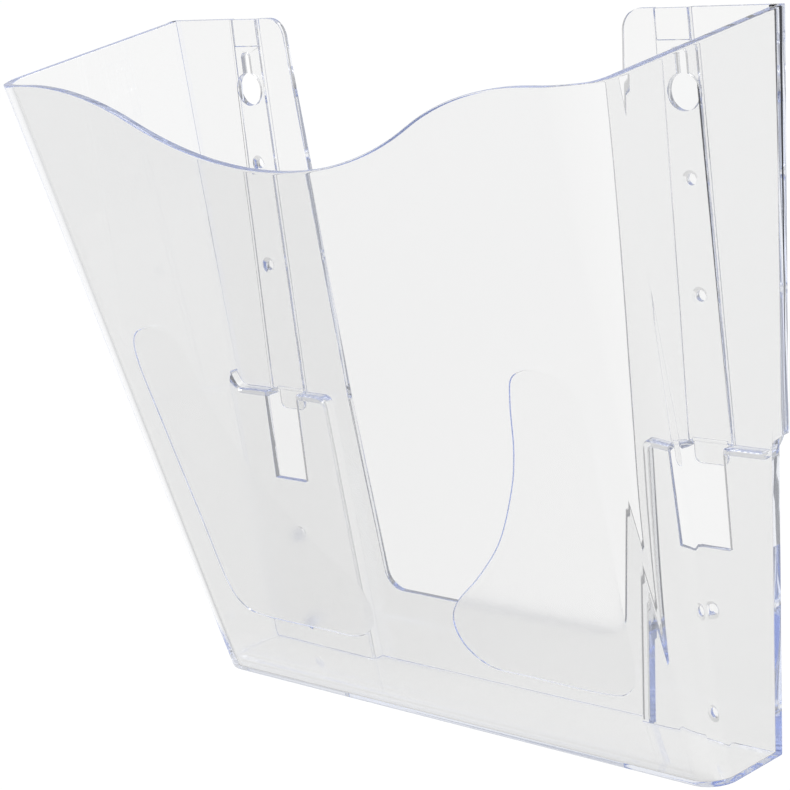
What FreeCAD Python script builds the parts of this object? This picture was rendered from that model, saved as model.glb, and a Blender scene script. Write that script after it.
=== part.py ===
import FreeCAD, Part

import math
import os

# A clear wall-hung magazine pocket, in millimetres.
# X runs across it, -Y points into the room, +Z is up, and the wall is the plane Y = 0.
# Heights are measured from the underside. place() then moves the origin to the midpoint
# between the two keyholes, on the wall plane.

# ---- driving dimensions ------------------------------------------------------------------
HEIGHT = 293.0             # underside to the top of the back strips
BACK_WIDTH_TOP = 330.4     # over the side walls at their back edges
BACK_WIDTH_BOTTOM = 286.0
FRONT_WIDTH_TOP = 324.0    # over the side walls at the front, before rounding
FRONT_WIDTH_BOTTOM = 281.0
FRONT_DEPTH_TOP = 115.0    # wall plane to the front's outer face, at HEIGHT
FRONT_DEPTH_BOTTOM = 46.0
CORNER_RADIUS_TOP = 20.0   # upright front corners, outer face
CORNER_RADIUS_BOTTOM = 13.0
WALL = 2.5                 # floor, and the foot of the front, corners and sides
WALL_TOP = 4.0             # front, corners and sides at HEIGHT; they thicken evenly towards it
BACK_WALL = 2.8            # back strips and panels

RIM_SHOULDER_Z = 282.0     # front rim beside the dip, and round most of each corner
RIM_CLIMB_ANGLE = 60.0     # the rim starts to climb here on the corner's arc, degrees from the front
RIM_DIP = 34.0             # how far the middle of the front rim lies below its shoulders
DIP_RADIUS = 160.0         # arc at the bottom of the dip
SHOULDER_RADIUS = 125.0    # arcs that lead from the dip to the shoulders

LEDGE_Z = 125.5            # shelf where the back steps forwards
STEP = 5.9                 # how far it steps
TOP_CORNER_RADIUS = 9.0    # inner top corner of each strip
STRIP_EDGE_TOP = 92.5      # strip's inner edge at HEIGHT, from the centre plane
STRIP_EDGE_LEDGE = 78.0    # the same at the ledge
CUTOUT_EDGE_BOTTOM = 67.3  # cut-out's edge at its own lower line
CUTOUT_Z = 37.0            # lower edge of the cut-out between the strips
CUTOUT_RADIUS = 10.0
RECESS_EDGE_LEDGE = 90.5   # inner wall of the stacking recess at the ledge
RECESS_EDGE_BOTTOM = 79.0

BAND_OUTER_TOP = 124.6     # the raised band that holds the screw holes
BAND_INNER_TOP = 108.4
BAND_OUTER_LEDGE = 127.1
BAND_INNER_LEDGE = 105.2
BAND_RISE = 1.0            # it stands this far forward, with a hollow as deep behind it
POCKET_Z = 281.0           # above this the hollow is deeper and takes the next rack's tongue
POCKET_DEPTH = 1.7

SCREW_X = 117.5            # keyholes and upper screw holes, from the centre plane
KEYHOLE_Z = 262.2          # centre of the keyhole's round part
KEYHOLE_RADIUS = 7.2
KEYHOLE_SLOT_RADIUS = 2.3
KEYHOLE_TOP = 278.3
UPPER_HOLES_Z = (229.0, 184.0)
LOWER_SCREW_X = 114.7
LOWER_HOLES_Z = (58.0, 14.5)
HOLE_RADIUS = 2.3
SINK_RADIUS = 3.7
SINK_DEPTH = 0.8

WINDOW_INNER = 106.0       # window in the lower panel, under the tongue
WINDOW_OUTER = 126.0
WINDOW_Z = 84.2
TONGUE_INNER = 107.0
TONGUE_OUTER = 123.8
TONGUE_BOTTOM = 116.0
TONGUE_WALL = 1.5
TONGUE_GAP = 0.1           # between the tongue's back and the wall plane
TONGUE_RADIUS = 2.0

MATT_DEPTH = 0.4           # matt areas sunk in the front's outer face
MATT_TOP_Z = 175.0
MATT_BOTTOM_Z = 35.0
FAR = 400.0                # longer than the whole part, for cutting tools

V = FreeCAD.Vector


# ---- lines that taper with height ----------------------------------------------------------
def along(low_value, high_value, z, low_z=0.0, high_z=HEIGHT):
    """The value at height z on the straight line between two known heights."""
    return low_value + (high_value - low_value) * (z - low_z) / (high_z - low_z)


def back_half_width(z):
    return along(BACK_WIDTH_BOTTOM, BACK_WIDTH_TOP, z) / 2


def front_half_width(z):
    return along(FRONT_WIDTH_BOTTOM, FRONT_WIDTH_TOP, z) / 2


def front_depth(z):
    return along(FRONT_DEPTH_BOTTOM, FRONT_DEPTH_TOP, z)


def strip_edge(z):
    return along(STRIP_EDGE_LEDGE, STRIP_EDGE_TOP, z, LEDGE_Z, HEIGHT)


def cutout_edge(z):
    return along(CUTOUT_EDGE_BOTTOM, STRIP_EDGE_LEDGE, z, CUTOUT_Z, LEDGE_Z)


def recess_edge(z):
    return along(RECESS_EDGE_BOTTOM, RECESS_EDGE_LEDGE, z, 0.0, LEDGE_Z)


def band_outer(z):
    return along(BAND_OUTER_LEDGE, BAND_OUTER_TOP, z, LEDGE_Z, HEIGHT)


def band_inner(z):
    return along(BAND_INNER_LEDGE, BAND_INNER_TOP, z, LEDGE_Z, HEIGHT)


# ---- small helpers ---------------------------------------------------------------------------
def mirrored(shape):
    """The same piece on the other side of the centre plane."""
    return shape.mirror(V(0, 0, 0), V(1, 0, 0))


def polygon(points):
    return Part.makePolygon([*points, points[0]])


def plate(outline, y_front, y_back):
    """A plate parallel to the wall, from an outline of (x, z) points."""
    wire = polygon([V(x, y_front, z) for x, z in outline])
    return Part.Face(wire).extrude(V(0, y_back - y_front, 0))


def drill(x, z, radius, y_front, y_back):
    return Part.makeCylinder(radius, y_back - y_front, V(x, y_front, z), V(0, 1, 0))


def arc_points(centre, radius, start, end, steps=10):
    """Points on an arc in the X-Z plane, the angles in degrees from +X."""
    points = []
    for step in range(steps + 1):
        angle = math.radians(start + (end - start) * step / steps)
        points.append((centre[0] + radius * math.cos(angle), centre[1] + radius * math.sin(angle)))
    return points


def corner(z):
    """Right front corner at height z: arc's centre and ends, side's direction, bisector, radius."""
    sharp = V(front_half_width(z), -front_depth(z), z)
    side = (V(back_half_width(z), 0, z) - sharp).normalize()
    front = V(-1, 0, 0)
    radius = along(CORNER_RADIUS_BOTTOM, CORNER_RADIUS_TOP, z)
    half_angle = side.getAngle(front) / 2
    reach = radius / math.tan(half_angle)
    middle = (side + front).normalize()
    centre = sharp + middle * (radius / math.sin(half_angle))
    return centre, sharp + front * reach, sharp + side * reach, side, middle, radius


def offset_point(point, centre, radius, inset):
    """A point on the corner's arc moved inwards along the radius."""
    return centre + (point - centre) * ((radius - inset) / radius)


def wall(z):
    return along(WALL, WALL_TOP, z)


def right_outline(z, inset):
    """Front end, arc middle, side end and back end of the right half at height z."""
    centre, front_end, side_end, side, middle, radius = corner(z)
    front = offset_point(front_end, centre, radius, inset)
    bend = centre - middle * (radius - inset)
    flank = offset_point(side_end, centre, radius, inset)
    back = flank + side * (-flank.y / side.y)
    return front, bend, flank, back


def loft(low_wire, high_wire):
    return Part.makeLoft([low_wire, high_wire], True, True)


def above(points, direction):
    """A cutting tool over a rim line given as points, swept along one axis."""
    top = [V(points[-1].x, points[-1].y, FAR), V(points[0].x, points[0].y, FAR)]
    return Part.Face(polygon([*points, *top])).extrude(direction)


# ---- front, corners, sides and floor -----------------------------------------------------------
def front_rim():
    """The rim line as (x, z): flat shoulders and a dip of three tangent arcs."""
    low = RIM_SHOULDER_Z - RIM_DIP
    turn = math.acos(1 - RIM_DIP / (DIP_RADIUS + SHOULDER_RADIUS))
    shoulder_x = (DIP_RADIUS + SHOULDER_RADIUS) * math.sin(turn)
    degrees = math.degrees(turn)
    shoulder_centre = (shoulder_x, RIM_SHOULDER_Z - SHOULDER_RADIUS)
    shoulder = arc_points(shoulder_centre, SHOULDER_RADIUS, 90, 90 + degrees, 14)
    dip = arc_points((0, low + DIP_RADIUS), DIP_RADIUS, 270 + degrees, 270, 14)
    half = [(FAR / 2, RIM_SHOULDER_Z), *shoulder, *dip[1:]]
    return half + [(-x, z) for x, z in reversed(half[:-1])]


def front_panel():
    sections = []
    for z in (0.0, HEIGHT):
        outer, _, _, _ = right_outline(z, 0.0)
        inner, _, _, _ = right_outline(z, wall(z))
        left_outer = V(-outer.x, outer.y, z)
        left_inner = V(-inner.x, inner.y, z)
        sections.append(polygon([outer, inner, left_inner, left_outer]))
    rim = [V(x, -FAR, z) for x, z in front_rim()]
    panel = loft(*sections).cut(above(rim, V(0, FAR, 0)))
    area = matt_area()
    return panel.cut(area).cut(mirrored(area))


def matt_line():
    """The right matt area's outline as (x, z) points of a smooth closed curve: narrow above, wide below."""
    return [
        (106.0, MATT_TOP_Z), (94.0, 171.5), (89.0, 160.0), (84.0, 139.5), (77.0, 122.0),
        (63.0, 98.0), (46.0, 79.5), (29.0, 64.5), (23.5, 54.0), (26.5, 43.0), (38.0, MATT_BOTTOM_Z + 0.6),
        (58.0, MATT_BOTTOM_Z), (96.0, MATT_BOTTOM_Z), (109.0, 38.5), (115.0, 50.0), (117.5, 80.0),
        (121.5, 128.0), (123.5, 158.0), (119.0, 171.0),
    ]


def matt_area():
    """Cutting tool for the sunk matt area in the front's outer face, right of the middle."""
    points = [V(x, -front_depth(z) + MATT_DEPTH, z) for x, z in matt_line()]
    curve = Part.BSplineCurve()
    curve.interpolate(points, PeriodicFlag=True)
    face = Part.Face(Part.Wire(curve.toShape()))
    return face.extrude(V(0, -2 * MATT_DEPTH, 0))


def corner_section(z):
    front_outer, bend_outer, side_outer, _ = right_outline(z, 0.0)
    front_inner, bend_inner, side_inner, _ = right_outline(z, wall(z))
    return Part.Wire([
        Part.Arc(front_outer, bend_outer, side_outer).toShape(),
        Part.makeLine(side_outer, side_inner),
        Part.Arc(side_inner, bend_inner, front_inner).toShape(),
        Part.makeLine(front_inner, front_outer),
    ])


def climb_start():
    """Where the rim starts to climb, as y."""
    radius = along(CORNER_RADIUS_BOTTOM, CORNER_RADIUS_TOP, RIM_SHOULDER_Z)
    return -front_depth(RIM_SHOULDER_Z) + radius * (1 - math.cos(math.radians(RIM_CLIMB_ANGLE)))


def climbing_rim():
    """Cutting tool over the right corner and side, whose rim climbs straight to the wall."""
    rim = [V(0, -FAR, RIM_SHOULDER_Z), V(0, climb_start(), RIM_SHOULDER_Z),
           V(0, 0, HEIGHT), V(0, FAR, HEIGHT)]
    return above(rim, V(FAR, 0, 0))


def corner_wall():
    """The right front corner."""
    return loft(corner_section(0.0), corner_section(HEIGHT)).cut(climbing_rim())


def side_wall():
    """The right side. It reaches the wall above the ledge and stops short of it below."""
    sections = []
    for z in (0.0, HEIGHT):
        _, _, flank_outer, back_outer = right_outline(z, 0.0)
        _, _, flank_inner, back_inner = right_outline(z, wall(z))
        sections.append(polygon([flank_outer, back_outer, back_inner, flank_inner]))
    recess = Part.makeBox(FAR, FAR, LEDGE_Z + 1, V(0, -STEP, -1))
    return loft(*sections).cut(climbing_rim()).cut(recess)


def inside():
    """Everything between the inner faces of the side walls, up to the wall plane."""
    sections = []
    for z in (0.0, HEIGHT):
        front, bend, flank, back = right_outline(z, wall(z))
        left = [V(-p.x, p.y, z) for p in (front, bend, flank, back)]
        sections.append(Part.Wire([
            Part.Arc(front, bend, flank).toShape(),
            Part.makeLine(flank, back),
            Part.makeLine(back, left[3]),
            Part.makeLine(left[3], left[2]),
            Part.Arc(left[2], left[1], left[0]).toShape(),
            Part.makeLine(left[0], front),
        ]))
    return loft(*sections)


def floor(interior):
    """The floor fills the walls, and leaves the two stacking recesses open below."""
    slab = Part.makeBox(2 * FAR, FAR, WALL, V(-FAR, -FAR - BACK_WALL, 0))
    shape = interior.common(slab)
    low, high = -1.0, WALL + 1
    outline = [(recess_edge(low) - BACK_WALL, low), (FAR, low),
               (FAR, high), (recess_edge(high) - BACK_WALL, high)]
    behind = plate(outline, -STEP - BACK_WALL, 1)
    return shape.cut(behind).cut(mirrored(behind))


# ---- back --------------------------------------------------------------------------------------
def screw_hole(x, z, y_front):
    """A through hole with a conical seat that opens towards the room."""
    seat = Part.makeCone(SINK_RADIUS, HOLE_RADIUS, SINK_DEPTH, V(x, y_front, z), V(0, 1, 0))
    return drill(x, z, HOLE_RADIUS, -FAR, FAR).fuse(seat)


def keyhole():
    front = -BACK_WALL - BAND_RISE - 1
    slot_centre = KEYHOLE_TOP - KEYHOLE_SLOT_RADIUS
    round_part = drill(SCREW_X, KEYHOLE_Z, KEYHOLE_RADIUS, front, 1)
    slot_end = drill(SCREW_X, slot_centre, KEYHOLE_SLOT_RADIUS, front, 1)
    inner, outer = SCREW_X - KEYHOLE_SLOT_RADIUS, SCREW_X + KEYHOLE_SLOT_RADIUS
    outline = [(inner, KEYHOLE_Z), (outer, KEYHOLE_Z), (outer, slot_centre), (inner, slot_centre)]
    return round_part.fuse(slot_end).fuse(plate(outline, front, 1))


def upper_strip(interior):
    """The right strip above the ledge: raised band and hollow, tongue pocket, keyhole, screw holes."""
    bend_centre = (STRIP_EDGE_TOP + TOP_CORNER_RADIUS, HEIGHT - TOP_CORNER_RADIUS)
    bend = arc_points(bend_centre, TOP_CORNER_RADIUS, 180, 90)
    outline = [(strip_edge(LEDGE_Z), LEDGE_Z), *bend, (FAR / 2, HEIGHT), (FAR / 2, LEDGE_Z)]
    strip = plate(outline, -BACK_WALL, 0).common(interior)
    band = [(band_inner(LEDGE_Z), LEDGE_Z), (band_inner(HEIGHT), HEIGHT),
            (band_outer(HEIGHT), HEIGHT), (band_outer(LEDGE_Z), LEDGE_Z)]
    above_band = HEIGHT + 1
    pocket = [(band_inner(POCKET_Z), POCKET_Z), (band_inner(above_band), above_band),
              (band_outer(above_band), above_band), (band_outer(POCKET_Z), POCKET_Z)]
    strip = strip.fuse(plate(band, -BACK_WALL - BAND_RISE, -BACK_WALL / 2))
    strip = strip.cut(plate(band, -BAND_RISE, 1)).cut(plate(pocket, -POCKET_DEPTH, 1)).cut(keyhole())
    for z in UPPER_HOLES_Z:
        strip = strip.cut(screw_hole(SCREW_X, z, -BACK_WALL - BAND_RISE))
    return strip


def tongue():
    """Hangs under the right strip. It drops into the pocket at the top of the rack below."""
    corner_z = TONGUE_BOTTOM + TONGUE_RADIUS
    inner = arc_points((TONGUE_INNER + TONGUE_RADIUS, corner_z), TONGUE_RADIUS, 180, 270, 5)
    outer = arc_points((TONGUE_OUTER - TONGUE_RADIUS, corner_z), TONGUE_RADIUS, 270, 360, 5)
    outline = [(TONGUE_INNER, LEDGE_Z), *inner, *outer, (TONGUE_OUTER, LEDGE_Z)]
    return plate(outline, -TONGUE_GAP - TONGUE_WALL, -TONGUE_GAP)


def ledge(interior):
    """The right shelf, in two lengths with a gap for the tongue."""
    low = LEDGE_Z - BACK_WALL
    outline = [(recess_edge(low), low), (FAR / 2, low),
               (FAR / 2, LEDGE_Z), (recess_edge(LEDGE_Z), LEDGE_Z)]
    gap = [(WINDOW_INNER, low - 1), (WINDOW_OUTER, low - 1),
           (WINDOW_OUTER, LEDGE_Z + 1), (WINDOW_INNER, LEDGE_Z + 1)]
    return plate(outline, -STEP, 0).common(interior).cut(plate(gap, -STEP - 1, 1))


def lower_panel(interior):
    """The right panel below the ledge, one step in front of the wall, with its window."""
    outline = [(recess_edge(0), 0), (FAR / 2, 0), (FAR / 2, LEDGE_Z), (recess_edge(LEDGE_Z), LEDGE_Z)]
    window = [(WINDOW_INNER, WINDOW_Z), (WINDOW_OUTER, WINDOW_Z),
              (WINDOW_OUTER, LEDGE_Z + 1), (WINDOW_INNER, LEDGE_Z + 1)]
    front = -STEP - BACK_WALL
    panel = plate(outline, front, -STEP).common(interior)
    panel = panel.cut(plate(window, front - 1, -STEP + 1))
    for z in LOWER_HOLES_Z:
        panel = panel.cut(screw_hole(LOWER_SCREW_X, z, front))
    return panel


def recess_wall():
    """The right recess's inner wall, which joins the lower panel to the flange on the wall."""
    outline = [(recess_edge(0) - BACK_WALL, 0), (recess_edge(0), 0),
               (recess_edge(LEDGE_Z), LEDGE_Z), (recess_edge(LEDGE_Z) - BACK_WALL, LEDGE_Z)]
    return plate(outline, -STEP - BACK_WALL, -BACK_WALL)


def flange():
    """The right margin of the cut-out below the ledge, flat on the wall."""
    edge = math.degrees(math.atan2(LEDGE_Z - CUTOUT_Z, STRIP_EDGE_LEDGE - CUTOUT_EDGE_BOTTOM))
    reach = CUTOUT_RADIUS * math.tan(math.radians(edge / 2))
    centre = (CUTOUT_EDGE_BOTTOM - reach, CUTOUT_Z + CUTOUT_RADIUS)
    bend = arc_points(centre, CUTOUT_RADIUS, 270, 270 + edge)
    outline = [*bend, (cutout_edge(LEDGE_Z), LEDGE_Z), (recess_edge(LEDGE_Z), LEDGE_Z),
               (recess_edge(CUTOUT_Z), CUTOUT_Z)]
    return plate(outline, -BACK_WALL, 0)


def centre_back_panel():
    """The low panel between the two recesses, flat on the wall."""
    outline = [(-recess_edge(0), 0), (recess_edge(0), 0),
               (recess_edge(CUTOUT_Z), CUTOUT_Z), (-recess_edge(CUTOUT_Z), CUTOUT_Z)]
    return plate(outline, -BACK_WALL, 0)


# ---- output -----------------------------------------------------------------------------------------
def place(shape):
    return shape.translated(V(0, 0, -KEYHOLE_Z))


def main():
    os.makedirs("parts", exist_ok=True)
    interior = inside()
    nodes = {
        "front_panel": front_panel(),
        "floor": floor(interior),
        "centre_back_panel": centre_back_panel(),
    }
    paired = {
        "front_corner": corner_wall(),
        "side_wall": side_wall(),
        "upper_strip": upper_strip(interior),
        "tongue": tongue(),
        "ledge": ledge(interior),
        "lower_panel": lower_panel(interior),
        "recess_wall": recess_wall(),
        "back_flange": flange(),
    }
    for name, shape in paired.items():
        nodes["right_" + name] = shape
        nodes["left_" + name] = mirrored(shape)
    for name, shape in nodes.items():
        solids = shape.Solids
        piece = solids[0] if len(solids) == 1 else Part.makeCompound(solids)
        piece = place(piece)
        print(name, "valid", piece.isValid(), "solids", len(solids), "volume", round(piece.Volume))
        piece.exportStep(f"parts/{name}.step")


main()
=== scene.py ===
import math

import bmesh
import bpy
from mathutils import Matrix, Vector

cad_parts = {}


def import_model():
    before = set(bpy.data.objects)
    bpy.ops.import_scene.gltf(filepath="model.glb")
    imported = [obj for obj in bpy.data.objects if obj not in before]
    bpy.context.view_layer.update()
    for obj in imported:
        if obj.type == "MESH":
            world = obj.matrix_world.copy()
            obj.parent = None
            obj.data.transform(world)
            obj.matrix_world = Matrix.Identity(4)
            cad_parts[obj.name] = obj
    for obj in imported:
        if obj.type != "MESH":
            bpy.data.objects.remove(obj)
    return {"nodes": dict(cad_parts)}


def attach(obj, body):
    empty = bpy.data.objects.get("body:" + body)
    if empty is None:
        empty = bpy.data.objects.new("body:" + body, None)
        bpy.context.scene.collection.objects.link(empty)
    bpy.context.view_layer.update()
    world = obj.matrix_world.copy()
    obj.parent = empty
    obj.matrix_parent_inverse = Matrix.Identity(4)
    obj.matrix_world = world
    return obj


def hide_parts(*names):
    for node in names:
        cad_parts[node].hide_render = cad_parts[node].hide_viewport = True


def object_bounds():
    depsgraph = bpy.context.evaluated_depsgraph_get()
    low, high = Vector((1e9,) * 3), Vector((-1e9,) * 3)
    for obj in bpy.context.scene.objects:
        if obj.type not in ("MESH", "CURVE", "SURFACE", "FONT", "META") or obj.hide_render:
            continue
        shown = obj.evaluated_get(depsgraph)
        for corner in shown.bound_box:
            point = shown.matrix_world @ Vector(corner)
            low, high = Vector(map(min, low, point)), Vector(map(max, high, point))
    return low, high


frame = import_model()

# A clear plastic magazine pocket for a wall. The shapes are worked out in millimetres, with
# heights from the underside, and put in the CAD frame at the end. It is one moulding, so one
# continuous closed mesh stands for all the CAD walls: light has to run on inside it.

cad_low, cad_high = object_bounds()

# ---- driving dimensions, in millimetres ------------------------------------------------------
MM = 0.001
HEIGHT = (cad_high.z - cad_low.z) / MM
BACK_HALF_TOP = 165.2
BACK_HALF_BOTTOM = 143.0
FRONT_HALF_TOP = 162.0     # over the side walls at the front, before rounding
FRONT_HALF_BOTTOM = 140.5
FRONT_DEPTH_TOP = 115.0    # at HEIGHT
FRONT_DEPTH_BOTTOM = 46.0
CORNER_RADIUS_TOP = 20.0
CORNER_RADIUS_BOTTOM = 13.0
WALL = 2.5                 # floor, and the foot of the front, corners and sides
WALL_TOP = 4.0             # front, corners and sides at HEIGHT
BACK_WALL = 2.8
RIM_ROUNDING = 0.6         # of the rim's upper edges
FOOT_ROUNDING = 1.2

RIM_SHOULDER_Z = 282.0
RIM_CLIMB_ANGLE = 60.0     # degrees round the corner's arc
RIM_DIP = 34.0
DIP_RADIUS = 160.0
SHOULDER_RADIUS = 125.0

LEDGE_Z = 125.5
STEP = 5.9
TOP_CORNER_RADIUS = 9.0
STRIP_EDGE_TOP = 92.5
STRIP_EDGE_LEDGE = 78.0
CUTOUT_EDGE_BOTTOM = 67.3
CUTOUT_Z = 37.0
CUTOUT_RADIUS = 10.0
RECESS_EDGE_LEDGE = 90.5
RECESS_EDGE_BOTTOM = 79.0
RECESS_CORNER_RADIUS = 5.0
LEDGE_RISE_X = 143.0       # the ledge curves up from here to the side wall
LEDGE_RISE = 9.0

BAND_OUTER_TOP = 124.6
BAND_INNER_TOP = 108.4
BAND_OUTER_LEDGE = 127.1
BAND_INNER_LEDGE = 105.2
BAND_RISE = 1.0            # the band stands this far forward, with a hollow as deep behind it
POCKET_Z = 281.0
POCKET_DEPTH = 1.7
POCKET_INSET = 0.2         # keeps the pocket's sides off the hollow's

SCREW_X = 117.5
KEYHOLE_Z = -cad_low.z / MM
KEYHOLE_RADIUS = 7.2
KEYHOLE_SLOT_RADIUS = 2.3
KEYHOLE_TOP = 278.3
UPPER_HOLES_Z = (229.0, 184.0)
LOWER_SCREW_X = 114.7
LOWER_HOLES_Z = (58.0, 14.5)
HOLE_RADIUS = 2.3
SINK_RADIUS = 3.7
SINK_DEPTH = 0.8

WINDOW_INNER = 106.0
WINDOW_OUTER = 126.0
WINDOW_Z = 84.2
TONGUE_INNER = 107.0
TONGUE_OUTER = 123.8
TONGUE_BOTTOM = 116.0
TONGUE_WALL = 1.5
TONGUE_BACK = -0.1         # just in front of the wall plane
TONGUE_RADIUS = 3.0

# outline of the right sunk area: distance from the centre plane and height
MATT_LINE = (
    (106.0, 175.0), (94.0, 171.5), (89.0, 160.0), (84.0, 139.5), (77.0, 122.0), (63.0, 98.0),
    (46.0, 79.5), (29.0, 64.5), (23.5, 54.0), (26.5, 43.0), (38.0, 35.6), (58.0, 35.0),
    (96.0, 35.0), (109.0, 38.5), (115.0, 50.0), (117.5, 80.0), (121.5, 128.0), (123.5, 158.0),
    (119.0, 171.0),
)
MATT_DEPTH = 0.4
MATT_EDGE = 0.25           # how far the edge of a matt area leans in over its depth
EDGE_BEVEL = 0.32
ROUNDING_STEPS = 7
SUPPORT = 0.5              # an extra row of faces this far from a rounding keeps the flats flat
LEDGE_ROUNDING = 1.5
SMOOTH_BELOW = 14.0        # degrees
PAST = 30.0                # how far cutting tools reach past what they cut
WALL_MIDDLE = WALL / 2

# ---- camera, studio and plastic; lengths in metres -------------------------------------------
CAMERA_AZIMUTH = 44.99
CAMERA_ELEVATION = 14.54
CAMERA_ROLL = -6.79
CAMERA_DISTANCE = 0.9685
CAMERA_LENS = 105.17
AIM_OFFSET = Vector((-0.0232, 0.0262, -0.0086))   # from the middle of the CAD box
FLOOR_DROP = 0.55
FLOOR_ALBEDO = 0.12        # most of its paleness is its own glow
FLOOR_REFLECTED = 0.08     # what the floor gives back of the studio's light, left out of its own glow
FIELD_AXIS = (-0.697, 0.697, 0.17)
FIELD_INNER = math.cos(math.radians(42))
FIELD_OUTER = math.cos(math.radians(88))
FIELD_WHITE = 1.0
SIDE_AXIS = (0.107, 0.107, 0.989)   # the grey round it lightens this way
POOL_EDGE = -0.6           # a pool of painted light on the floor under the object: rise of the line of sight
POOL_INSIDE = -0.75
POOL_LIGHT = 0.3
GREY_LOW_AT = -0.62
GREY_HIGH_AT = 0.4
GREY_LOW = 0.16
GREY_HIGH = 1.0
PLASTIC_COLOUR = (0.960, 0.958, 0.947, 1)
ABSORPTION = 6.0
ABSORPTION_COLOUR = (0.48, 0.56, 0.80, 1)
# painted light: the plastic glows faintly blue of its own everywhere, though it is no lamp
PAINTED_BLUE_GLOW = 0.008
PAINTED_GLOW_COLOUR = (0.62, 0.70, 1.0, 1)
MATT_ROUGHNESS = 0.19
MATT_ROUGHNESS_SPREAD = 0.02
LIGHT_BOUNCES = 96         # light that runs along inside the sheets turns many corners


# ---- lines that taper with height ------------------------------------------------------------
def along(low_value, high_value, z, low_z=0.0, high_z=HEIGHT):
    return low_value + (high_value - low_value) * (z - low_z) / (high_z - low_z)


def back_half(z):
    return along(BACK_HALF_BOTTOM, BACK_HALF_TOP, z)


def front_half(z):
    return along(FRONT_HALF_BOTTOM, FRONT_HALF_TOP, z)


def front_depth(z):
    return along(FRONT_DEPTH_BOTTOM, FRONT_DEPTH_TOP, z)


def recess_edge(z):
    return along(RECESS_EDGE_BOTTOM, RECESS_EDGE_LEDGE, z, 0.0, LEDGE_Z)


def corner(z):
    """Right front corner at height z: arc's centre, turn, radius, reach along the front, side direction."""
    sharp = Vector((front_half(z), -front_depth(z)))
    side = (Vector((back_half(z), 0.0)) - sharp).normalized()
    front = Vector((-1.0, 0.0))
    radius = along(CORNER_RADIUS_BOTTOM, CORNER_RADIUS_TOP, z)
    half_angle = side.angle(front) / 2
    middle = (side + front).normalized()
    centre = sharp + middle * (radius / math.sin(half_angle))
    return centre, math.pi - 2 * half_angle, radius, radius / math.tan(half_angle), side


def wall_point(part, t, z, inset):
    """A point of the right half of the pocket's wall: t runs 0 to 1 along front, corner or side."""
    centre, turn, radius, reach, side = corner(z)
    if part == "front":
        return Vector((t * (front_half(z) - reach), -front_depth(z) + inset, z))
    angle = turn * (t if part == "corner" else 1.0)
    point = centre + Vector((math.sin(angle), -math.cos(angle))) * (radius - inset)
    if part == "side":
        point = point + side * (-point.y / side.y) * t
        if t == 1.0:
            point.y = 0.0
    return Vector((point.x, point.y, z))


# ---- mesh helpers ----------------------------------------------------------------------------
def new_object(name, verts, faces):
    mesh = bpy.data.meshes.new(name)
    mesh.from_pydata([tuple(v) for v in verts], [], faces)
    bm = bmesh.new()
    bm.from_mesh(mesh)
    bmesh.ops.recalc_face_normals(bm, faces=bm.faces)
    bm.to_mesh(mesh)
    bm.free()
    obj = bpy.data.objects.new(name, mesh)
    bpy.context.scene.collection.objects.link(obj)
    return obj


def arc(centre, radius, start, end, steps=10):
    """(x, z) points on an arc, the angles in degrees from +X."""
    angles = [math.radians(start + (end - start) * i / steps) for i in range(steps + 1)]
    return [(centre[0] + radius * math.cos(a), centre[1] + radius * math.sin(a)) for a in angles]


def mirrored(outline):
    return [(-x, z) for x, z in reversed(outline)]


def prism(name, outline, y_front, y_back):
    """A closed plate parallel to the wall from (x, z) points."""
    count = len(outline)
    verts = [(x, y, z) for y in (y_front, y_back) for x, z in outline]
    faces = [list(range(count)), list(range(2 * count - 1, count - 1, -1))]
    for i in range(count):
        j = (i + 1) % count
        faces.append([i, j, j + count, i + count])
    return new_object(name, verts, faces)


def cone(name, x, z, front_radius, back_radius, y_front, y_back, steps=48):
    rings = []
    for radius, y in ((front_radius, y_front), (back_radius, y_back)):
        rings += [(px, y, pz) for px, pz in arc((x, z), radius, 0, 360 * (1 - 1 / steps), steps - 1)]
    faces = [list(range(steps)), list(range(2 * steps - 1, steps - 1, -1))]
    faces += [[i, (i + 1) % steps, (i + 1) % steps + steps, i + steps] for i in range(steps)]
    return new_object(name, rings, faces)


def combine(target, tools, operation):
    """Unites the tools with the target, or cuts them out of it, and removes them."""
    for tool in tools:
        change = target.modifiers.new("combine", "BOOLEAN")
        change.operation = operation
        change.solver = "MANIFOLD"
        change.object = tool
        bake_modifiers(target)
        mesh = tool.data
        bpy.data.objects.remove(tool)
        bpy.data.meshes.remove(mesh)
    return target


def bake_modifiers(obj):
    graph = bpy.context.evaluated_depsgraph_get()
    mesh = bpy.data.meshes.new_from_object(obj.evaluated_get(graph))
    old = obj.data
    obj.modifiers.clear()
    obj.data = mesh
    bpy.data.meshes.remove(old)


def both_sides(make):
    """make(name, flip) for the right side and the left."""
    return [make("right", lambda outline: outline), make("left", mirrored)]


# ---- the pocket's wall -----------------------------------------------------------------------
def rim_z(x):
    """Height of the front rim at x: flat shoulders and a dip of three tangent arcs."""
    low = RIM_SHOULDER_Z - RIM_DIP
    turn = math.acos(1 - RIM_DIP / (DIP_RADIUS + SHOULDER_RADIUS))
    join = DIP_RADIUS * math.sin(turn)
    end = (DIP_RADIUS + SHOULDER_RADIUS) * math.sin(turn)
    x = abs(x)
    if x >= end:
        return RIM_SHOULDER_Z
    if x <= join:
        return low + DIP_RADIUS - math.sqrt(DIP_RADIUS ** 2 - x ** 2)
    return RIM_SHOULDER_Z - SHOULDER_RADIUS + math.sqrt(SHOULDER_RADIUS ** 2 - (end - x) ** 2)


def climb_start():
    radius = along(CORNER_RADIUS_BOTTOM, CORNER_RADIUS_TOP, RIM_SHOULDER_Z)
    return -front_depth(RIM_SHOULDER_Z) + radius * (1 - math.cos(math.radians(RIM_CLIMB_ANGLE)))


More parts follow.
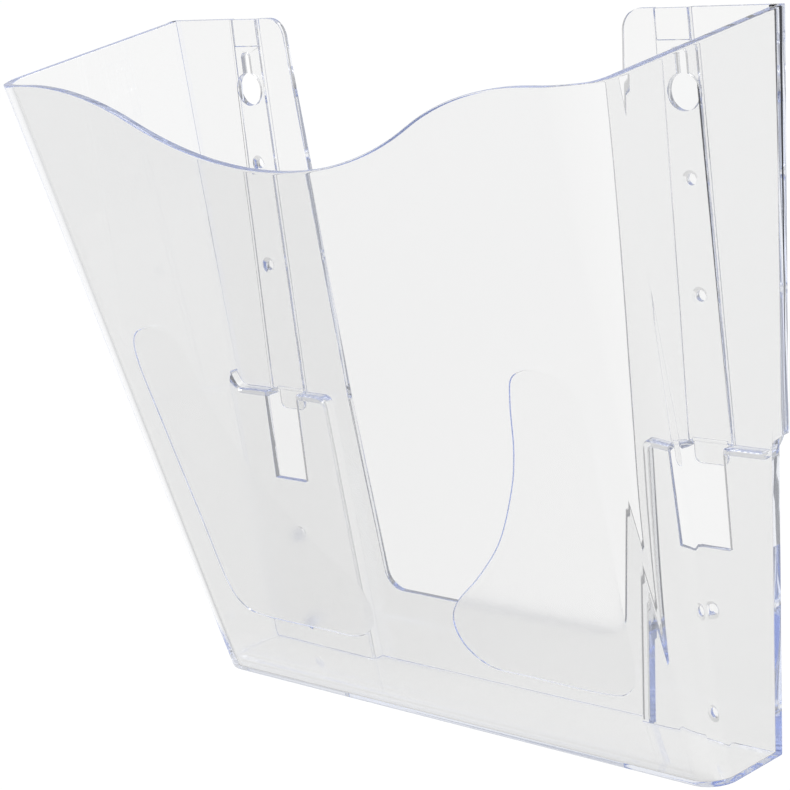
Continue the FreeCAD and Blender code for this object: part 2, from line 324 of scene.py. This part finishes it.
def top_of_wall(part, t, inset):
    """The rim's height over a place on the wall, by a few steps towards where wall and rim meet."""
    z = RIM_SHOULDER_Z
    start = climb_start()
    for _ in range(6):
        point = wall_point(part, t, z, inset)
        if part == "front":
            z = rim_z(point.x)
        else:
            share = max(0.0, (point.y - start) / -start)
            z = RIM_SHOULDER_Z + (HEIGHT - RIM_SHOULDER_Z) * share
    return z


def wall_section(part, t):
    """The closed loop round the wall's thickness at one place: outside up, over the rim, inside down."""
    top = top_of_wall(part, t, WALL_MIDDLE)
    low, high = FOOT_ROUNDING, top - RIM_ROUNDING
    thick = along(WALL, WALL_TOP, top)
    quarter = [math.radians(90 * i / ROUNDING_STEPS) for i in range(ROUNDING_STEPS + 1)]
    levels = [low + SUPPORT, *[low + (high - low) * i / 10 for i in range(1, 10)], high - SUPPORT]
    loop = []
    for a in reversed(quarter):
        loop.append((FOOT_ROUNDING * (1 - math.cos(a)), FOOT_ROUNDING * (1 - math.sin(a))))
    loop += [(0.0, z) for z in levels]
    for a in quarter:
        loop.append((RIM_ROUNDING * (1 - math.cos(a)), high + RIM_ROUNDING * math.sin(a)))
    for a in reversed(quarter):
        loop.append((thick - RIM_ROUNDING * (1 - math.cos(a)), high + RIM_ROUNDING * math.sin(a)))
    loop += [(along(WALL, WALL_TOP, z), z) for z in reversed(levels)]
    loop.append((WALL, 0.0))
    return [wall_point(part, t, z, inset) for inset, z in loop]


def wall_stations():
    stations = [("front", i / 60) for i in range(60)]
    stations += [("corner", i / 20) for i in range(20)]
    stations += [("side", (i / 24)) for i in range(25)]
    return stations


def pocket_wall():
    right = [wall_section(part, t) for part, t in wall_stations()]
    left = [[Vector((-p.x, p.y, p.z)) for p in section] for section in reversed(right[1:])]
    sections = left + right
    count = len(sections[0])
    verts = [p for section in sections for p in section]
    faces = []
    for s in range(len(sections) - 1):
        for i in range(count):
            j = (i + 1) % count
            faces.append([s * count + i, s * count + j, (s + 1) * count + j, (s + 1) * count + i])
    faces.append(list(range(count)))
    faces.append([(len(sections) - 1) * count + i for i in reversed(range(count))])
    return new_object("clear_moulding", verts, faces)


def block_inside(name, low, high):
    """All the space between two heights, out to the middle of the walls and back to the wall plane."""
    levels = [low + (high - low) * i / 10 for i in range(11)]
    verts = []
    for z in levels:
        right = [wall_point(part, t, z, WALL_MIDDLE) for part, t in wall_stations()]
        verts += [Vector((-p.x, p.y, p.z)) for p in reversed(right[1:])] + right
    count = len(verts) // len(levels)
    last = count * (len(levels) - 1)
    faces = [list(range(count)), [last + i for i in reversed(range(count))]]
    for ring in range(0, last, count):
        for i in range(count):
            j = (i + 1) % count
            faces.append([ring + i, ring + j, ring + j + count, ring + i + count])
    return new_object(name, verts, faces)


# ---- the back --------------------------------------------------------------------------------
def wall_plane_sheet():
    """The U of back strips and low centre panel that lies against the wall."""
    edge = math.degrees(math.atan2(LEDGE_Z - CUTOUT_Z, STRIP_EDGE_LEDGE - CUTOUT_EDGE_BOTTOM))
    reach = CUTOUT_RADIUS * math.tan(math.radians(edge / 2))
    bend = arc((CUTOUT_EDGE_BOTTOM - reach, CUTOUT_Z + CUTOUT_RADIUS), CUTOUT_RADIUS, 270, 270 + edge)
    bend_centre = (STRIP_EDGE_TOP + TOP_CORNER_RADIUS, HEIGHT - TOP_CORNER_RADIUS)
    top_bend = arc(bend_centre, TOP_CORNER_RADIUS, 180, 90)
    half = [*bend, (STRIP_EDGE_LEDGE, LEDGE_Z), *top_bend, (back_half(HEIGHT) - WALL_MIDDLE, HEIGHT),
            (back_half(0) - WALL_MIDDLE, 0.0)]
    return prism("back", half + mirrored(half), -BACK_WALL, 0.0)


def step_line(offset):
    """The step's line on the right side, from the floor up and out to the side wall."""
    low, high = recess_edge(0), recess_edge(LEDGE_Z)
    slant = math.degrees(math.atan2(LEDGE_Z, high - low))
    radius = RECESS_CORNER_RADIUS - offset
    z_top = LEDGE_Z - offset
    shift = offset - BACK_WALL
    reach = radius / math.tan(math.radians((180 - slant) / 2))
    x_corner = recess_edge(z_top) + shift
    centre = (x_corner + reach, z_top - radius)
    bend = arc(centre, radius, 90 + slant, 90, 8)
    rise = []
    end = back_half(LEDGE_Z) - WALL_MIDDLE
    for i in range(9):
        s = i / 8
        rise.append((LEDGE_RISE_X + (end - LEDGE_RISE_X) * s, z_top + LEDGE_RISE * s ** 2.2))
    return [(recess_edge(-PAST) + shift, -PAST), *bend, *rise]


def round_front(obj, y_front, radius):
    """Rounds a prism's edges in the plane y_front."""
    bm = bmesh.new()
    bm.from_mesh(obj.data)
    edges = [e for e in bm.edges if all(abs(v.co.y - y_front) < 1e-4 for v in e.verts)]
    bmesh.ops.bevel(bm, geom=edges, offset=radius, offset_type="OFFSET", segments=6, profile=0.5,
                    affect="EDGES", clamp_overlap=False)
    bm.to_mesh(obj.data)
    bm.free()
    return obj


def bulge(name, flip):
    """The stepped part of the back. It runs on below and outside, where the floor and side wall end it."""
    line = step_line(0.0)
    outline = [*line, (back_half(0) + PAST, -PAST)]
    shape = prism(name + "_bulge", flip(outline), -STEP - BACK_WALL, 0.0)
    return round_front(shape, -STEP - BACK_WALL, LEDGE_ROUNDING)


def recess(name, flip):
    line = step_line(BACK_WALL)
    x, z = line[-1]
    outline = [*line, (x + PAST, z + 2.0), (x + PAST, -PAST)]
    return prism(name + "_recess", flip(outline), -STEP, PAST)


def window(name, flip):
    outline = [(WINDOW_INNER, WINDOW_Z), (WINDOW_OUTER, WINDOW_Z),
               (WINDOW_OUTER, LEDGE_Z), (WINDOW_INNER, LEDGE_Z)]
    return prism(name + "_window", flip(outline), -PAST, PAST)


def band(name, flip):
    """The raised band of a strip. It runs on down into the ledge, where the window ends it."""
    outline = [(BAND_INNER_LEDGE, LEDGE_Z - 1), (BAND_OUTER_LEDGE, LEDGE_Z - 1),
               (BAND_OUTER_TOP, HEIGHT), (BAND_INNER_TOP, HEIGHT)]
    return prism(name + "_band", flip(outline), -BACK_WALL - BAND_RISE, -BACK_WALL / 2)


def hollow(name, flip):
    """The hollow behind the band, as wide as the band."""
    outline = [(BAND_INNER_LEDGE, LEDGE_Z - 1), (BAND_OUTER_LEDGE, LEDGE_Z - 1),
               (BAND_OUTER_TOP, HEIGHT + PAST), (BAND_INNER_TOP, HEIGHT + PAST)]
    return prism(name + "_hollow", flip(outline), -BAND_RISE, PAST)


def pocket(name, flip):
    """The deeper end of the hollow, for the next rack's tongue."""
    outline = [(BAND_INNER_TOP + POCKET_INSET, POCKET_Z), (BAND_OUTER_TOP - POCKET_INSET, POCKET_Z),
               (BAND_OUTER_TOP - POCKET_INSET, HEIGHT + PAST), (BAND_INNER_TOP + POCKET_INSET, HEIGHT + PAST)]
    return prism(name + "_pocket", flip(outline), -POCKET_DEPTH, PAST)


def tongue(name, flip):
    z = TONGUE_BOTTOM + TONGUE_RADIUS
    inner = arc((TONGUE_INNER + TONGUE_RADIUS, z), TONGUE_RADIUS, 180, 270, 6)
    outer = arc((TONGUE_OUTER - TONGUE_RADIUS, z), TONGUE_RADIUS, 270, 360, 6)
    outline = [(TONGUE_INNER, LEDGE_Z + 1), *inner, *outer, (TONGUE_OUTER, LEDGE_Z + 1)]
    return prism(name + "_tongue", flip(outline), TONGUE_BACK - TONGUE_WALL, TONGUE_BACK)


def keyhole(name, flip):
    slot_z = KEYHOLE_TOP - KEYHOLE_SLOT_RADIUS
    lean = math.degrees(math.asin(KEYHOLE_SLOT_RADIUS / KEYHOLE_RADIUS))
    outline = [*arc((SCREW_X, KEYHOLE_Z), KEYHOLE_RADIUS, 90 + lean, 450 - lean, 40),
               *arc((SCREW_X, slot_z), KEYHOLE_SLOT_RADIUS, 0, 180, 12)]
    return prism(name + "_keyhole", flip(outline), -PAST, PAST)


def screw_holes():
    """Cutting tools for the eight countersunk screw holes."""
    tools = []
    for side in (1, -1):
        for x, heights, front in ((SCREW_X, UPPER_HOLES_Z, -BACK_WALL - BAND_RISE),
                                  (LOWER_SCREW_X, LOWER_HOLES_Z, -STEP - BACK_WALL)):
            for z in heights:
                tools.append(cone("hole", side * x, z, HOLE_RADIUS, HOLE_RADIUS, -PAST, PAST))
                lean = (SINK_RADIUS - HOLE_RADIUS) / SINK_DEPTH
                out = 0.5
                tools.append(cone("sink", side * x, z, SINK_RADIUS + lean * out, HOLE_RADIUS,
                                  front - out, front + SINK_DEPTH))
    return tools


# ---- sunk matt areas on the front ------------------------------------------------------------
def smooth_line(points, steps=8):
    """A closed Catmull-Rom curve through the points."""
    count = len(points)
    line = []
    for i in range(count):
        a, b, c, d = (Vector(points[(i + k) % count]) for k in (-1, 0, 1, 2))
        for step in range(steps):
            t = step / steps
            line.append(0.5 * (2 * b + (c - a) * t + (2 * a - 5 * b + 4 * c - d) * t ** 2
                               + (3 * b - 3 * c + d - a) * t ** 3))
    return line


def matt_area(side):
    """Cutting tool for a sunk area: its edge leans, and its inner end is the area's own surface."""
    line = smooth_line(MATT_LINE)
    count = len(line)
    rings = []
    for inset, depth in ((-MATT_EDGE, -MATT_DEPTH), (0.0, 0.0), (MATT_EDGE, MATT_DEPTH)):
        for i in range(count):
            tangent = (line[(i + 1) % count] - line[i - 1]).normalized()
            point = line[i] + Vector((tangent.y, -tangent.x)) * -inset
            rings.append((side * point.x, -front_depth(point.y) + depth, point.y))
    faces = [list(range(count)), [2 * count + i for i in reversed(range(count))]]
    for ring in range(2):
        for i in range(count):
            j = (i + 1) % count
            faces.append([ring * count + i, ring * count + j, (ring + 1) * count + j, (ring + 1) * count + i])
    return new_object("matt_area", rings, faces)


# ---- put together ----------------------------------------------------------------------------
def join_slivers(obj):
    """Welds points that the cuts left almost on top of each other."""
    bm = bmesh.new()
    bm.from_mesh(obj.data)
    bmesh.ops.remove_doubles(bm, verts=bm.verts, dist=0.004)
    bmesh.ops.dissolve_degenerate(bm, edges=bm.edges, dist=0.004)
    bm.to_mesh(obj.data)
    bm.free()


def round_edges(obj):
    """Rounds every sharp edge a little."""
    bevel = obj.modifiers.new("bevel", "BEVEL")
    bevel.width = EDGE_BEVEL
    bevel.segments = 3
    bevel.limit_method = "ANGLE"
    bevel.angle_limit = math.radians(35)
    bevel.use_clamp_overlap = False
    bevel.miter_outer = "MITER_ARC"
    bake_modifiers(obj)


def moulding():
    """The whole rack as one closed mesh, in millimetres."""
    back = wall_plane_sheet()
    combine(back, both_sides(bulge) + both_sides(band), "UNION")
    combine(back, [block_inside("inside", 0.0, HEIGHT + 1)], "INTERSECT")
    body = pocket_wall()
    combine(body, [block_inside("floor", 0.0, WALL), back], "UNION")
    cuts = []
    for make in (recess, window, hollow, pocket, keyhole):
        cuts += both_sides(make)
    combine(body, cuts, "DIFFERENCE")
    join_slivers(body)
    round_edges(body)
    tongues = both_sides(tongue)
    for piece in tongues:
        round_edges(piece)
    combine(body, tongues, "UNION")
    combine(body, [*screw_holes(), matt_area(1), matt_area(-1)], "DIFFERENCE")
    join_slivers(body)
    return body


def mark_matt_faces(obj):
    """Writes 1 on the corners of faces that lie in the sunk areas' plane and 0 elsewhere."""
    attribute = obj.data.attributes.new("matt", "FLOAT", "CORNER")
    for face in obj.data.polygons:
        corners = [obj.data.vertices[i].co for i in face.vertices]
        sunk = all(abs(p.y + front_depth(p.z) - MATT_DEPTH) < 0.02 for p in corners)
        for i in face.loop_indices:
            attribute.data[i].value = 1.0 if sunk else 0.0


def finish_mesh(obj):
    """Smooth shading that breaks at edges, a flat top, and the move to the CAD frame."""
    obj.data.shade_smooth()
    obj.data.set_sharp_from_angle(angle=math.radians(SMOOTH_BELOW))
    mark_matt_faces(obj)
    for vertex in obj.data.vertices:
        vertex.co.z = min(vertex.co.z, HEIGHT)
    obj.data.transform(Matrix.Scale(MM, 4) @ Matrix.Translation((0, 0, -KEYHOLE_Z)))


# ---- shader helpers --------------------------------------------------------------------------
def noise(tree, place, scale, detail):
    node = tree.nodes.new("ShaderNodeTexNoise")
    node.inputs["Scale"].default_value = scale
    node.inputs["Detail"].default_value = detail
    tree.links.new(place.outputs["Object"], node.inputs["Vector"])
    return node.outputs["Fac"]


def map_range(tree, value, from_low, from_high, to_low, to_high, smooth=False):
    node = tree.nodes.new("ShaderNodeMapRange")
    if smooth:
        node.interpolation_type = "SMOOTHSTEP"
    ends = {"From Min": from_low, "From Max": from_high, "To Min": to_low, "To Max": to_high}
    for name, number in ends.items():
        node.inputs[name].default_value = number
    tree.links.new(value, node.inputs["Value"])
    return node.outputs["Result"]


# ---- material --------------------------------------------------------------------------------
def clear_plastic():
    """Water-clear styrene: fine handling marks, faint moulding flow, the two matt areas, and a faint painted
    bluish glow over all of it.
    """
    material = bpy.data.materials.new("clear_styrene")
    material.use_nodes = True
    tree = material.node_tree
    tree.nodes.clear()
    links = tree.links
    output = tree.nodes.new("ShaderNodeOutputMaterial")
    shader = tree.nodes.new("ShaderNodeBsdfPrincipled")
    shader.inputs["Base Color"].default_value = PLASTIC_COLOUR
    shader.inputs["Transmission Weight"].default_value = 1.0
    shader.inputs["IOR"].default_value = 1.585
    # painted light: a faint bluish glow given off by the plastic itself
    shader.inputs["Emission Color"].default_value = PAINTED_GLOW_COLOUR
    shader.inputs["Emission Strength"].default_value = PAINTED_BLUE_GLOW
    absorption = tree.nodes.new("ShaderNodeVolumeAbsorption")
    absorption.inputs["Color"].default_value = ABSORPTION_COLOUR
    absorption.inputs["Density"].default_value = ABSORPTION
    place = tree.nodes.new("ShaderNodeTexCoord")
    marks = noise(tree, place, 60.0, 4.0)
    gloss = map_range(tree, marks, 0.35, 0.75, 0.0, 0.03)
    grain = noise(tree, place, 900.0, 2.0)
    matt = map_range(tree, grain, 0.3, 0.7, MATT_ROUGHNESS - MATT_ROUGHNESS_SPREAD,
                     MATT_ROUGHNESS + MATT_ROUGHNESS_SPREAD)
    area = tree.nodes.new("ShaderNodeAttribute")
    area.attribute_name = "matt"
    finish = tree.nodes.new("ShaderNodeMix")
    links.new(area.outputs["Fac"], finish.inputs["Factor"])
    links.new(gloss, finish.inputs["A"])
    links.new(matt, finish.inputs["B"])
    links.new(finish.outputs["Result"], shader.inputs["Roughness"])
    flow = noise(tree, place, 11.0, 1.5)
    bump = tree.nodes.new("ShaderNodeBump")
    bump.inputs["Strength"].default_value = 0.3
    bump.inputs["Distance"].default_value = 0.0005
    links.new(flow, bump.inputs["Height"])
    links.new(bump.outputs["Normal"], shader.inputs["Normal"])
    links.new(shader.outputs["BSDF"], output.inputs["Surface"])
    links.new(absorption.outputs["Volume"], output.inputs["Volume"])
    return material


# ---- studio ----------------------------------------------------------------------------------
def camera():
    """The camera, aimed a little off the middle of the CAD box."""
    turn, tilt = math.radians(CAMERA_AZIMUTH), math.radians(CAMERA_ELEVATION)
    back = Vector((math.sin(turn) * math.cos(tilt), -math.cos(turn) * math.cos(tilt), math.sin(tilt)))
    right = Vector((math.cos(turn), math.sin(turn), 0))
    roll = Matrix.Rotation(math.radians(CAMERA_ROLL), 3, back)
    x_axis = roll @ right
    y_axis = back.cross(x_axis)
    data = bpy.data.cameras.new("camera")
    data.lens = CAMERA_LENS
    data.clip_start = 0.01
    obj = bpy.data.objects.new("camera", data)
    aim = (cad_low + cad_high) / 2 + AIM_OFFSET
    turned = Matrix((x_axis, y_axis, back)).transposed().to_4x4()
    obj.matrix_world = Matrix.Translation(aim + back * CAMERA_DISTANCE) @ turned
    bpy.context.scene.collection.objects.link(obj)
    bpy.context.scene.camera = obj
    return obj


def bright_field(tree, direction):
    """Brightness for a direction: white behind the object, grey round that, and paler below and above."""
    line = tree.nodes.new("ShaderNodeVectorMath")
    line.operation = "DOT_PRODUCT"
    line.inputs[1].default_value = FIELD_AXIS
    tree.links.new(direction, line.inputs[0])
    share = map_range(tree, line.outputs["Value"], FIELD_OUTER, FIELD_INNER, 0.0, 1.0, True)
    across = tree.nodes.new("ShaderNodeVectorMath")
    across.operation = "DOT_PRODUCT"
    across.inputs[1].default_value = SIDE_AXIS
    tree.links.new(direction, across.inputs[0])
    around = map_range(tree, across.outputs["Value"], GREY_LOW_AT, GREY_HIGH_AT, GREY_LOW, GREY_HIGH)
    height = tree.nodes.new("ShaderNodeSeparateXYZ")
    tree.links.new(direction, height.inputs["Vector"])
    pool = map_range(tree, height.outputs["Z"], POOL_EDGE, POOL_INSIDE, 0.0, POOL_LIGHT, True)
    brighter = tree.nodes.new("ShaderNodeMath")
    brighter.operation = "MAXIMUM"
    tree.links.new(around, brighter.inputs[0])
    tree.links.new(pool, brighter.inputs[1])
    blend = tree.nodes.new("ShaderNodeMix")
    tree.links.new(share, blend.inputs["Factor"])
    tree.links.new(brighter.outputs["Value"], blend.inputs["A"])
    blend.inputs["B"].default_value = FIELD_WHITE
    return blend.outputs["Result"]


def world():
    """A studio that is brighter behind the rack than round it."""
    scene_world = bpy.data.worlds.new("studio")
    bpy.context.scene.world = scene_world
    scene_world.use_nodes = True
    tree = scene_world.node_tree
    tree.nodes.clear()
    output = tree.nodes.new("ShaderNodeOutputWorld")
    background = tree.nodes.new("ShaderNodeBackground")
    place = tree.nodes.new("ShaderNodeTexCoord")
    tree.links.new(bright_field(tree, place.outputs["Generated"]), background.inputs["Strength"])
    tree.links.new(background.outputs["Background"], output.inputs["Surface"])


def floor():
    """A pale floor below the hanging object. Its glow is painted light: it glows as the world does beyond it,
    brighter behind the object, grey round that and with a painted pool of light under it, so no horizon
    shows.
    """
    size = 14.0
    verts = [(-size, -size, 0), (size, -size, 0), (size, size, 0), (-size, size, 0)]
    obj = new_object("studio_floor", verts, [[0, 1, 2, 3]])
    obj.location.z = cad_low.z - FLOOR_DROP
    material = bpy.data.materials.new("pale_floor")
    material.use_nodes = True
    tree = material.node_tree
    shader = tree.nodes["Principled BSDF"]
    shader.inputs["Roughness"].default_value = 0.9
    shader.inputs["Base Color"].default_value = (FLOOR_ALBEDO, FLOOR_ALBEDO, FLOOR_ALBEDO, 1)
    shader.inputs["Specular IOR Level"].default_value = 0.0
    shader.inputs["Emission Color"].default_value = (1, 1, 1, 1)
    place = tree.nodes.new("ShaderNodeTexCoord")
    offset = tree.nodes.new("ShaderNodeVectorMath")
    offset.operation = "SUBTRACT"
    offset.inputs[1].default_value = (cad_low + cad_high) / 2 - obj.location
    direction = tree.nodes.new("ShaderNodeVectorMath")
    direction.operation = "NORMALIZE"
    tree.links.new(place.outputs["Object"], offset.inputs[0])
    tree.links.new(offset.outputs["Vector"], direction.inputs[0])
    # painted light: the floor's glow follows the studio's brightness seen from the object's middle, with a
    # painted pool of light under the object
    glow = bright_field(tree, direction.outputs["Vector"])
    less = tree.nodes.new("ShaderNodeMath")
    less.operation = "SUBTRACT"
    less.inputs[1].default_value = FLOOR_REFLECTED
    tree.links.new(glow, less.inputs[0])
    tree.links.new(less.outputs["Value"], shader.inputs["Emission Strength"])
    obj.data.materials.append(material)


def softbox(name, place, aim, size, power):
    data = bpy.data.lights.new(name, "AREA")
    data.shape = "RECTANGLE"
    data.size, data.size_y = size
    data.energy = power
    obj = bpy.data.objects.new(name, data)
    direction = Vector(aim) - Vector(place)
    obj.matrix_world = Matrix.Translation(place) @ direction.to_track_quat("-Z", "Y").to_matrix().to_4x4()
    bpy.context.scene.collection.objects.link(obj)


def light_paths():
    """Enough bounces for light that runs on inside the walls."""
    cycles = bpy.context.scene.cycles
    cycles.max_bounces = LIGHT_BOUNCES
    cycles.transmission_bounces = LIGHT_BOUNCES
    cycles.glossy_bounces = LIGHT_BOUNCES


bpy.context.scene.view_settings.view_transform = "Standard"
light_paths()
camera()
world()
floor()
softbox("top_softbox", (-0.3, 0.9, 1.9), (0, 0, -0.1), (1.6, 1.2), 14.0)
body = moulding()
finish_mesh(body)
body.data.materials.clear()
body.data.materials.append(clear_plastic())
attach(body, "root")
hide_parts(*sorted(frame["nodes"]))
